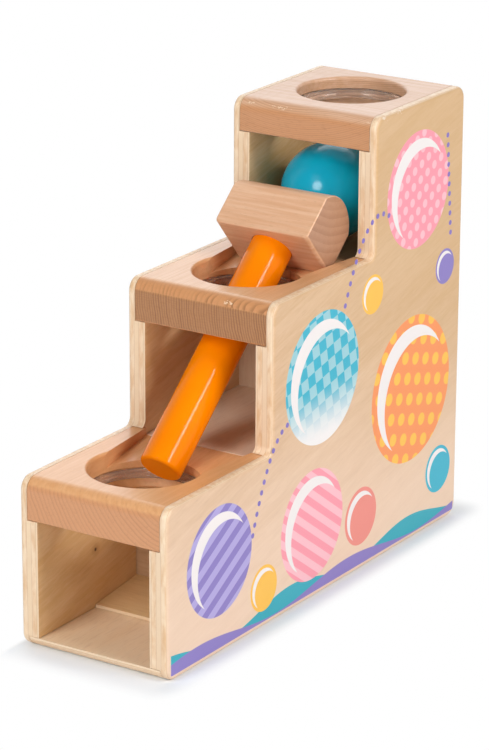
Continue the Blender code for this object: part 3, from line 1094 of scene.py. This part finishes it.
class Modelling(Nodes):
    """A Geometry Nodes tree that starts from lines and ends in real, painted geometry."""

    def __init__(self, name: str, inputs: dict[str, str]) -> None:
        """Start a tree that takes lines.

        Args:
            name: The tree's name.
            inputs: Its other inputs' names and types.
        """
        super().__init__(bpy.data.node_groups.new(name, "GeometryNodeTree"))
        face = self.tree.interface
        for label, kind in {"Geometry": "Geometry", **inputs}.items():
            face.new_socket(label, in_out="INPUT", socket_type="NodeSocket" + kind)
        face.new_socket("Geometry", in_out="OUTPUT", socket_type="NodeSocketGeometry")
        self.given = self.node("NodeGroupInput")
        self.curve = self.node("GeometryNodeMeshToCurve", {}, {"Mesh": self.given})

    def close(self, geometry: Wire, paint: Material) -> None:
        """End the tree.

        Args:
            geometry: What it has made; its instances become real.
            paint: The finish that it gets.
        """
        real = self.node("GeometryNodeRealizeInstances", {}, {"Geometry": geometry})
        painted = self.node("GeometryNodeSetMaterial", {}, {"Geometry": real, "Material": paint})
        self.node("NodeGroupOutput", {}, {"Geometry": painted})

    def make(
        self,
        name: str,
        points: list[Point],
        edges: list[tuple[int, int]],
        sizes: dict[str, Any],
    ) -> Object:
        """Run the tree on lines.

        Args:
            name: The new object's name.
            points: The lines' points.
            edges: Which points the lines join.
            sizes: The tree's other inputs, by name.

        Returns:
            The object, as plain mesh.
        """
        mesh = bpy.data.meshes.new(name + "_lines")
        mesh.from_pydata(points, edges, [])
        item = new_object(name, mesh)
        modifier = modify(item, "NODES", node_group=self.tree)
        for socket in self.tree.interface.items_tree:
            if socket.name in sizes:
                modifier[socket.identifier] = sizes[socket.name]
        settle(item)
        return item


@dataclass
class SidePanels:
    """The two stepped plywood sides, housed on their inner faces for the blocks and boards."""

    inner: float = 0.038
    outer: float = 0.050
    let_in: float = 0.045
    corner: float = 0.008
    inner_corner: float = 0.005
    edge_round: float = 0.0024
    blocks: tuple[str, ...] = ("lower_step_block", "middle_step_block", "top_step_block")
    boards: tuple[str, ...] = ("floor_board", "back_board", "lower_riser", "middle_riser")
    ramps: tuple[str, ...] = ("middle_ramp", "upper_ramp")
    ramp_thickness: float = 0.004
    knot: Point = (-0.038, -0.1042, 0.0425)
    worn: tuple[Chip, ...] = (
        Chip((0.0494, 0.0660, 0.2738), 0.0008, 0.0022),
        Chip((0.0490, 0.0840, 0.2746), 0.0008, 0.0032),
    )

    def outline(self) -> list[Flat]:
        """Draw the stepped outline from the three blocks' own boxes.

        Returns:
            Its points.
        """
        lower, middle, top = (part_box(node) for node in self.blocks)
        return rounded([
            (lower[0].y, 0.0, self.corner),
            (top[1].y, 0.0, self.corner),
            (top[1].y, top[1].z, self.corner),
            (top[0].y, top[1].z, self.corner),
            (top[0].y, middle[1].z, self.inner_corner),
            (middle[0].y, middle[1].z, self.corner),
            (middle[0].y, lower[1].z, self.inner_corner),
            (lower[0].y, lower[1].z, self.corner),
        ])

    def housings(self) -> list[list[Flat]]:
        """Draw the housings from the side, each a little larger than the piece in it.

        Returns:
            Their outlines.
        """
        views = []
        for node in self.blocks + self.boards + self.ramps:
            low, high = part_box(node)
            rise = high.z - low.z - self.ramp_thickness if node in self.ramps else 0.0
            views.append([
                (low.y - FIT, low.z - FIT),
                (high.y + FIT, low.z + rise - FIT),
                (high.y + FIT, high.z + FIT),
                (low.y - FIT, high.z - rise + FIT),
            ])
        return views

    def build(self, name: str, side: int) -> Object:
        """Build one panel.

        Args:
            name: The piece's name.
            side: 1 for the right panel, -1 for the left one.

        Returns:
            The panel.
        """
        work = prism(self.outline(), side * self.inner, side * self.outer)
        rim = []
        for edge in work.edges:
            if all(abs(abs(vertex.co.x) - self.outer) < MERGE for vertex in edge.verts):
                rim.append(edge)
        round_edges(work, rim, self.edge_round)
        panel = solid(name, work)
        cutters = []
        for view in self.housings():
            block = prism(view, side * (self.inner - OVERRUN), side * self.let_in)
            cutters.append(solid("housing", block))
        carve(panel, cutters)
        soften(panel)
        return panel

    def dress(self) -> None:
        """Build both panels and give them their finishes."""
        stack = (Axis.X, self.inner, self.outer - self.inner, Axis.Y, True)
        plain = Plywood(
            "left_panel_plywood", *stack, tilt=-13.0, shift=3.1,
            pale=srgb(233, 197, 150), deep=srgb(215, 171, 115), knot=self.knot,
        )
        left = self.build("left_panel_wood", -1)
        put(left, plain.material(), "tower", "plywood", "left_side_panel")
        wear = Wear(self.worn, (900.0, 700.0, 900.0), 0.6, srgb(253, 240, 226))
        printed = PrintedPlywood("right_panel_plywood", *stack, tilt=-15.0, shift=11.7, wear=wear)
        right = self.build("right_panel_printed", 1)
        put(right, printed.material(), "tower", "printed_plywood", "right_side_panel")


@dataclass
class BounceTrail:
    """Dotted hops between the printed balls, as films of ink on the right panel."""

    hops: tuple[tuple[Flat, Flat, float], ...] = (
        ((0.232, 0.214), (0.184, 0.171), 0.018),
        ((0.122, 0.116), (0.086, 0.060), 0.012),
        ((0.300, 0.248), (0.306, 0.186), 0.000),
    )
    hop_steps: int = 24
    dot_radius: float = 0.0016
    dot_corners: int = 18
    spacing: float = 0.0062
    film: float = 0.00012
    roughness: float = 0.4

    def path(self, start: Flat, end: Flat, height: float) -> list[Point]:
        """Points of one hop on the panel's outer face.

        Args:
            start: Where it starts, from the tower's front and from the ground.
            end: Where it ends.
            height: How far it rises above the straight line.

        Returns:
            The points.
        """
        low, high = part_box("right_side_panel")
        points = []
        for step in range(self.hop_steps + 1):
            share = step / self.hop_steps
            y = start[0] + (end[0] - start[0]) * share
            z = start[1] + (end[1] - start[1]) * share + 4 * height * share * (1 - share)
            points.append((high.x, low.y + y, z))
        return points

    def tree(self, ink: Material) -> Modelling:
        """Make the node tree that sets a disc of ink at even steps along each path.

        Args:
            ink: The ink.

        Returns:
            The tree.
        """
        inputs = {"Spacing": "Float", "Dot Radius": "Float", "Film": "Float"}
        tree = Modelling("dots_along_paths", inputs)
        spacing = {"Curve": tree.curve, "Length": tree.given.output("Spacing")}
        size = {
            "Vertices": self.dot_corners,
            "Radius": tree.given.output("Dot Radius"),
            "Depth": tree.given.output("Film"),
        }
        dots = {
            "Points": tree.node("GeometryNodeResampleCurve", {"mode": "LENGTH"}, spacing),
            "Instance": tree.node("GeometryNodeMeshCylinder", {}, size),
            "Rotation": (0.0, math.pi / 2, 0.0),
        }
        tree.close(tree.node("GeometryNodeInstanceOnPoints", {}, dots), ink)
        return tree

    def dress(self) -> None:
        """Make the dots and set them on the panel."""
        ink = Lacquer("trail_ink", GROUND_PURPLE, GROUND_PURPLE, self.roughness).material()
        points: list[Point] = []
        edges: list[tuple[int, int]] = []
        for hop in self.hops:
            edges += [(len(points) + step, len(points) + step + 1) for step in range(self.hop_steps)]
            points += self.path(*hop)
        sizes = {"Spacing": self.spacing, "Dot Radius": self.dot_radius, "Film": self.film}
        trail = self.tree(ink).make("bounce_trail_ink", points, edges, sizes)
        put(trail, ink, "tower", "printed_plywood")


@dataclass
class StepBlock:
    """One solid beech step with its pounding hole, and behind the hole a roll-in channel."""

    node: str
    piece: str
    finish: Beech
    hole_back: float
    channel: bool
    hole_radius: float = 0.0325
    hole_steps: int = 112
    nosing: float = 0.008
    arris: float = 0.0008
    rim: float = 0.002
    rim_steps: int = 8
    foot: float = 0.0015
    ring_height: float = 0.010
    groove_steps: int = 10
    channel_drop: float = 0.0045
    channel_slope: float = math.radians(5.5)
    channel_half: float = 0.0375
    channel_lead_half: float = 0.0305
    channel_lead: float = 0.005

    def hole_centre(self) -> Point:
        """Middle of the hole at the block's underside."""
        low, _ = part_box(self.node)
        return (0.0, low.y + self.hole_back, low.z)

    def outline(self) -> list[Flat]:
        """Draw the block from the side.

        Returns:
            Its outline.
        """
        low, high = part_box(self.node)
        back = self.arris if self.channel else self.nosing
        return rounded([
            (low.y, low.z, self.arris),
            (high.y, low.z, self.arris),
            (high.y, high.z, back),
            (low.y, high.z, self.nosing),
        ])

    def hole(self) -> Object:
        """Build the hole, with its rounded rim, its ring groove and its chamfered foot.

        Returns:
            The cutter.
        """
        low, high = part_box(self.node)
        thickness = high.z - low.z
        groove = RING_TUBE + FIT
        reach = math.degrees(math.acos((self.hole_radius - RING_RADIUS) / groove))
        top = thickness + OVERRUN
        wide = self.hole_radius + self.rim
        profile = [(0.0, top), (wide, top)]
        profile += arc((wide, thickness - self.rim + 2 * MERGE), self.rim, 90, 180, self.rim_steps)
        profile += arc((RING_RADIUS, self.ring_height), groove, reach, -reach, self.groove_steps)
        profile.append((self.hole_radius, self.foot))
        profile.append((self.hole_radius + self.foot + OVERRUN, -OVERRUN))
        profile.append((0.0, -OVERRUN))
        cutter = solid("hole", turned(profile, self.hole_steps))
        cutter.data.transform(Matrix.Translation(self.hole_centre()))
        return cutter

    def channel_cutter(self) -> Object:
        """Build the channel, which falls and narrows towards the hole.

        Returns:
            The cutter.
        """
        _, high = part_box(self.node)
        front = self.hole_centre()[1] - self.channel_lead
        work = bmesh.new()
        bmesh.ops.create_cube(work, size=2.0)
        for corner in work.verts:
            at_back = corner.co.y > 0
            y = high.y + OVERRUN if at_back else front
            half = self.channel_half if at_back else self.channel_lead_half
            floor = high.z - self.channel_drop - (high.y - y) * math.tan(self.channel_slope)
            z = high.z + OVERRUN if corner.co.z > 0 else floor
            corner.co = (math.copysign(half, corner.co.x), y, z)
        return solid("channel", work)

    def dress(self) -> None:
        """Build the block and give it its finish."""
        low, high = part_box(self.node)
        block = solid(self.piece, prism(self.outline(), low.x, high.x))
        cutters = [self.hole()]
        if self.channel:
            cutters.append(self.channel_cutter())
        carve(block, cutters)
        soften(block)
        put(block, self.finish.material(), "tower", "beech", self.node)


@dataclass
class GripRings:
    """The three clear rings, each a ribbed tube swept round a circle by Geometry Nodes."""

    rib_depth: float = 0.0003
    ribs: int = 8
    tube_steps: int = 64
    ring_steps: int = 128

    def section(self) -> list[Point]:
        """Draw the tube's cross-section, with shallow ribs.

        Returns:
            Its points.
        """
        points = []
        for step in range(self.tube_steps):
            angle = 2 * math.pi * step / self.tube_steps
            reach = RING_TUBE - self.rib_depth * (0.5 - 0.5 * math.cos(self.ribs * angle))
            points.append((reach * math.cos(angle), reach * math.sin(angle), 0.0))
        return points

    def tree(self, clear: Material) -> Modelling:
        """Make the node tree that sweeps the section round a circle at a place.

        Args:
            clear: The rings' finish.

        Returns:
            The tree.
        """
        tree = Modelling("swept_ring", {"Ring Radius": "Float", "Place": "Vector"})
        size = {"Resolution": self.ring_steps, "Radius": tree.given.output("Ring Radius")}
        circle = tree.node("GeometryNodeCurvePrimitiveCircle", {}, size)
        sweep = tree.node("GeometryNodeCurveToMesh", {}, {"Curve": circle, "Profile Curve": tree.curve})
        place = {"Geometry": sweep, "Translation": tree.given.output("Place")}
        ring = tree.node("GeometryNodeTransform", {}, place)
        tree.close(tree.node("GeometryNodeSetShadeSmooth", {}, {"Geometry": ring}), clear)
        return tree

    def dress(self) -> None:
        """Make the three rings."""
        clear = ClearRing("clear_ring_plastic").material()
        tree = self.tree(clear)
        edges = [(step, (step + 1) % self.tube_steps) for step in range(self.tube_steps)]
        for step in ("lower", "middle", "top"):
            node = step + "_grip_ring"
            low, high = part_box(node)
            sizes = {"Ring Radius": RING_RADIUS, "Place": tuple((low + high) / 2)}
            ring = tree.make(step + "_clear_ring", self.section(), edges, sizes)
            with opened(ring) as work:
                bmesh.ops.recalc_face_normals(work, faces=work.faces)
            put(ring, clear, "tower", "clear_ring", node)


@dataclass(frozen=True)
class Board:
    """One board that keeps its CAD shape, with its own piece of plywood."""

    node: str
    stack: Axis
    grain: Axis
    shift: float
    pale: Colour
    deep: Colour
    plies: tuple[float, ...] = ()

    def dress(self) -> None:
        """Give the board its finish."""
        low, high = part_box(self.node)
        start = low[self.stack.value]
        finish = Plywood(
            self.node + "_plywood", self.stack, start, high[self.stack.value] - start, self.grain,
            plies=self.plies, shift=self.shift, pale=self.pale, deep=self.deep,
        )
        frame["nodes"][self.node].material_slots[0].material = finish.material()
        LOG.info("%s: CAD shape kept, new finish", self.node)


THREE_PLIES = (0.22, 0.78)

BOARDS = (
    Board("floor_board", Axis.Z, Axis.Y, 21.0, srgb(254, 232, 200), srgb(250, 222, 184), THREE_PLIES),
    Board("lower_ramp", Axis.Z, Axis.X, 22.3, srgb(240, 208, 156), srgb(234, 200, 146)),
    Board("lower_riser", Axis.Y, Axis.X, 23.7, srgb(224, 190, 154), srgb(212, 174, 134), THREE_PLIES),
    Board("middle_riser", Axis.Y, Axis.Z, 25.1, srgb(238, 212, 184), srgb(228, 196, 162), THREE_PLIES),
    Board("back_board", Axis.Y, Axis.Z, 26.9, srgb(238, 206, 170), srgb(224, 184, 140), THREE_PLIES),
    Board("middle_ramp", Axis.Z, Axis.Y, 28.4, srgb(248, 222, 198), srgb(236, 202, 170)),
    Board("upper_ramp", Axis.Z, Axis.Y, 29.8, srgb(216, 184, 148), srgb(200, 162, 122)),
)


@dataclass
class Hammer:
    """The loaf-shaped beech head on its orange handle, leaning through the middle step."""

    place: Point = (0.0005, 0.02193, 0.19843)
    head_half: float = 0.032
    head_width: float = 0.038
    head_side: float = 0.0285
    head_crown: float = 0.010
    head_arris: float = 0.0015
    head_foot: float = 0.0030
    handle_radius: float = 0.0127
    handle_length: float = 0.155
    socket: float = 0.020
    end_round: float = 0.002
    crown_steps: int = 40
    arris_steps: int = 5
    socket_steps: int = 96
    handle_steps: int = 128
    end_steps: int = 8

    def stand(self) -> Matrix:
        """Find where the hammer lies, with its handle along the joint that draws it.

        Returns:
            Its place and turn.
        """
        axis = next(joint["axis"] for joint in frame["joints"] if joint["name"] == "hammer_draw")
        lean = math.atan2(axis[2], axis[1])
        return Matrix.Translation(self.place) @ Matrix.Rotation(lean - math.pi / 2, 4, "X")

    def head_outline(self) -> list[Flat]:
        """Draw the head from its end, with the handle face at zero and the crown above it.

        Returns:
            Its outline.
        """
        half = self.head_width / 2
        crown = (half ** 2 + self.head_crown ** 2) / (2 * self.head_crown)
        reach = math.degrees(math.asin(half / crown))
        centre = (0.0, self.head_side + self.head_crown - crown)
        return [(-half, 0.0), (half, 0.0)] + arc(centre, crown, 90 - reach, 90 + reach, self.crown_steps)

    def build_head(self) -> Object:
        """Build the head with its socket.

        Returns:
            The head.
        """
        work = prism(self.head_outline(), -self.head_half, self.head_half)
        foot = []
        for edge in work.edges:
            first, second = (vertex.co for vertex in edge.verts)
            if max(first.z, second.z) < MERGE and abs(first.x - second.x) < MERGE:
                foot.append(edge)
        round_edges(work, foot, self.head_foot)
        head = solid("hammer_head_beech", work)
        bevel = {"width": self.head_arris, "segments": self.arris_steps}
        modify(head, "BEVEL", limit_method="ANGLE", angle_limit=SHARP, **bevel)
        settle(head)
        room = self.handle_radius + FIT
        profile = [(0.0, self.socket), (room, self.socket), (room, -OVERRUN), (0.0, -OVERRUN)]
        carve(head, [solid("socket", turned(profile, self.socket_steps))])
        head.data.transform(self.stand())
        soften(head)
        return head

    def build_handle(self) -> Object:
        """Build the handle with its rounded free end.

        Returns:
            The handle.
        """
        top = self.socket - FIT
        centre = (self.handle_radius - self.end_round, -self.handle_length + self.end_round)
        profile = [(0.0, top), (self.handle_radius, top)]
        profile += arc(centre, self.end_round, 0, -90, self.end_steps)
        profile.append((0.0, -self.handle_length))
        handle = solid("hammer_handle_orange", turned(profile, self.handle_steps))
        handle.data.transform(self.stand())
        soften(handle)
        return handle

    def dress(self) -> None:
        """Build both pieces and give them their finishes."""
        put(self.build_head(), HEAD_BEECH.material(), "hammer", "pale_beech", "hammer_head")
        put(self.build_handle(), HANDLE_ORANGE.material(), "hammer", "orange_lacquer", "hammer_handle")


@dataclass
class Ball:
    """The turquoise ball on the upper ramp."""

    cuts: int = 31

    def build(self) -> Object:
        """Build the ball as a cube swelled to a sphere, so that it has no poles.

        Returns:
            The ball.
        """
        low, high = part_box("ball")
        radius = (high.z - low.z) / 2
        work = bmesh.new()
        bmesh.ops.create_cube(work, size=2.0)
        bmesh.ops.subdivide_edges(work, edges=work.edges, cuts=self.cuts, use_grid_fill=True)
        for vertex in work.verts:
            spread = Vector([math.tan(value * math.pi / 4) for value in vertex.co])
            vertex.co = spread.normalized() * radius
        ball = solid("ball_turquoise", work)
        ball.data.transform(Matrix.Translation((low + high) / 2))
        ball.data.shade_smooth()
        return ball

    def dress(self) -> None:
        """Build the ball and give it its finish."""
        put(self.build(), BALL_TURQUOISE.material(), "ball", "turquoise_lacquer", "ball")


WHITE_LIGHT = (1.0, 1.0, 1.0, 1.0)


@dataclass(frozen=True)
class Lamp:
    """One softbox: where it stands as seen from the tower, and its share of full white there."""

    name: str
    toward: Point
    distance: float
    width: float
    height: float
    share: float
    mirrored: bool = False
    shape: LampShape = LampShape.OBLONG

    def build(self, aim: Vector) -> None:
        """Hang the softbox.

        Args:
            aim: The point that it faces.
        """
        data = bpy.data.lights.new(self.name, "AREA")
        energy = self.share * math.pi ** 2 * self.distance ** 2
        size = {"shape": self.shape.value, "size": self.width, "size_y": self.height}
        adjust(data, {**size, "energy": energy})
        lamp = bpy.data.objects.new(self.name, data)
        toward = Vector(self.toward).normalized()
        lamp.location = aim + toward * self.distance
        lamp.rotation_euler = toward.to_track_quat("Z", "Y").to_euler()
        lamp.visible_camera = False
        lamp.visible_glossy = self.mirrored
        bpy.context.scene.collection.objects.link(lamp)


@dataclass
class Studio:
    """White studio, softboxes and the camera that took the picture."""

    ambient: float = 0.135
    room_front: float = 0.15
    room_turn: Flat = (-0.6, 0.1)
    room_top: float = 0.3
    room_rise: Flat = (0.5, 0.85)
    floor_half: float = 6.0
    floor_drop: float = 0.0002
    floor_white: Colour = (0.90, 0.90, 0.90)
    floor_cool: Colour = (0.80, 0.85, 0.90)
    floor_glow: float = 0.10
    white_from: float = 0.002
    white_to: float = 0.026
    left_haste: float = 5.0
    right_haste: float = 1.6
    camera_place: Point = (1.0270, -1.5928, 0.7649)
    yaw: float = 33.076
    pitch: float = 18.881
    roll: float = 0.178
    lens: float = 163.9
    sensor: float = 36.0
    shift_x: float = 0.0125
    shift_y: float = 0.0203
    aim: Point = (0.0, 0.0, 0.13)
    lamps: tuple[Lamp, ...] = (
        Lamp("key_softbox", (0.78, -0.03, 0.62), 2.4, 0.9, 0.35, 0.44, True),
        Lamp("front_softbox", (-0.025, -0.903, 0.429), 2.6, 0.95, 0.95, 0.25, True, LampShape.ROUND),
        Lamp("left_softbox", (-0.18, -0.72, 0.67), 2.4, 0.7, 0.7, 0.26),
        Lamp("right_softbox", (0.95, -0.25, 0.17), 2.0, 1.2, 1.0, 0.21),
        Lamp("low_softbox", (0.60, -0.79, 0.08), 2.0, 1.0, 0.6, 0.08),
        Lamp("back_softbox", (-0.50, 0.66, 0.56), 3.0, 2.6, 2.0, 0.20, True),
        Lamp("rear_softbox", (-0.76, 0.63, 0.14), 2.4, 1.6, 1.2, 0.42),
    )

    def build_camera(self) -> None:
        """Set up the camera at the picture's viewpoint."""
        data = bpy.data.cameras.new("camera")
        data.sensor_fit = "VERTICAL"
        data.sensor_height = self.sensor
        data.lens = self.lens
        data.shift_x = self.shift_x
        data.shift_y = self.shift_y
        camera = bpy.data.objects.new("camera", data)
        turn = Matrix.Rotation(math.radians(self.yaw), 4, "Z")
        turn = turn @ Matrix.Rotation(math.radians(90 - self.pitch), 4, "X")
        turn = turn @ Matrix.Rotation(math.radians(self.roll), 4, "Z")
        camera.matrix_world = Matrix.Translation(self.camera_place) @ turn
        bpy.context.scene.collection.objects.link(camera)
        bpy.context.scene.camera = camera

    def build_world(self) -> None:
        """White background and gentle light, in a room whose reflections dim in front and above."""
        shading = Shading("studio", world=True)
        gentle, white = (
            shading.node("ShaderNodeBackground", {}, {"Color": WHITE_LIGHT, "Strength": strength})
            for strength in (self.ambient, 1.0)
        )
        camera, mirrored = shading.rays()
        room = self.room_front + shading.y.rise(*self.room_turn) * (1 - self.room_front)
        above = 1 - shading.z.rise(*self.room_rise) * (1 - self.room_top)
        shown = camera.larger(mirrored * room * above)
        bpy.context.scene.world = shading.close(shading.mix_shaders(shown, gentle, white))

    def build_floor(self) -> None:
        """Pale floor that keeps the tower's soft shadow and turns white away from it."""
        work = bmesh.new()
        bmesh.ops.create_grid(work, x_segments=1, y_segments=1, size=self.floor_half)
        floor = solid("studio_floor", work)
        floor.data.transform(Matrix.Translation((0.0, 0.0, -self.floor_drop)))
        shading = Shading("floor_paper")
        matt, cool = (
            shading.node("ShaderNodeBsdfDiffuse", {}, {"Color": (*colour, 1.0)})
            for colour in (self.floor_white, self.floor_cool)
        )
        glow, plain = (
            shading.node("ShaderNodeEmission", {}, {"Strength": strength})
            for strength in (self.floor_glow, 1.0)
        )
        near = shading.node("ShaderNodeAddShader", {}, {0: cool, 1: glow})
        right = (shading.x - CAD_BOX[1].x).larger(0.0)
        left = (CAD_BOX[0].x - shading.x).larger(0.0)
        aside = right * self.right_haste + left * self.left_haste
        before = (abs(shading.y) - CAD_BOX[1].y).larger(0.0)
        away = length(aside, before).rise(self.white_from, self.white_to)
        camera, mirrored = shading.rays()
        shown = shading.mix_shaders(away, near, plain)
        paper = shading.mix_shaders(camera.larger(mirrored), matt, shown)
        floor.data.materials.append(shading.close(paper))

    def build(self) -> None:
        """Set up the camera, the lamps, the world and the floor."""
        bpy.context.scene.view_settings.view_transform = "Standard"
        self.build_camera()
        for lamp in self.lamps:
            lamp.build(Vector(self.aim))
        self.build_world()
        self.build_floor()


LOWER_BEECH = Beech(
    "lower_step_beech", Axis.Y, Axis.Y, (0.055, 0.0, 0.125), 0.0027, 1.4, 0.3, 1.3,
    late_share=0.6, nosing=0.2, face_until=-0.150,
)
MIDDLE_BEECH = Beech(
    "middle_step_beech", Axis.Y, Axis.Y, (0.17, 0.0, 0.196), 0.0017, 2.6, 0.85, 4.6,
    late_share=0.6, rays=0.14, face_edge=(0.95, 0.995), face_until=-0.043, stroke_pitch=0.0034,
    coat=0.6, pale=srgb(233, 183, 136), deep=srgb(217, 158, 107), late=srgb(132, 82, 42),
    front=srgb(168, 112, 60), nosing_tone=srgb(208, 144, 92),
    wear=Wear((Chip((0.0184, -0.0518, 0.1872), 0.0030, 0.0012),)),
)
TOP_BEECH = Beech(
    "top_step_beech", Axis.X, Axis.Y, (-0.012, 0.0, 0.385), 0.0012, 1.8, 0.36, 9.2,
    late_share=0.7, nosing=1.0, face_until=0.067, coat=0.42,
    pale=srgb(230, 188, 157), deep=srgb(213, 162, 122), front=srgb(205, 144, 95),
    wear=Wear((
        Chip((-0.0170, 0.0591, 0.2724), 0.0060, 0.0011),
        Chip((-0.0385, 0.0592, 0.2726), 0.0040, 0.0008),
        Chip((0.0430, 0.0588, 0.2718), 0.0030, 0.0009),
    )),
)
HEAD_BEECH = Beech(
    "head_beech", Axis.X, Axis.X, (0.0, 0.055, 0.285), 0.0050, 0.4, 0.3, 7.9,
    late_share=0.9, coat=0.2, pale=srgb(240, 199, 165), deep=srgb(218, 160, 118),
    late=srgb(150, 98, 66), front=srgb(178, 130, 100),
)
HANDLE_ORANGE = Lacquer("handle_orange", srgb(255, 140, 0), srgb(255, 134, 0), 0.03, 0.10, 0.02)
BALL_TURQUOISE = Lacquer("ball_turquoise_lacquer", srgb(0, 188, 222), srgb(0, 178, 212), 0.15, 0.52)


def main() -> None:
    """Build the studio and every sub-assembly."""
    logging.basicConfig(level=logging.INFO, format="%(message)s")
    Studio().build()
    SidePanels().dress()
    BounceTrail().dress()
    StepBlock("lower_step_block", "lower_step_wood", LOWER_BEECH, hole_back=0.051, channel=True).dress()
    StepBlock("middle_step_block", "middle_step_wood", MIDDLE_BEECH, hole_back=0.051, channel=True).dress()
    StepBlock("top_step_block", "top_step_wood", TOP_BEECH, hole_back=0.0535, channel=False).dress()
    GripRings().dress()
    for board in BOARDS:
        board.dress()
    Hammer().dress()
    Ball().dress()


if __name__ == "__main__":
    main()
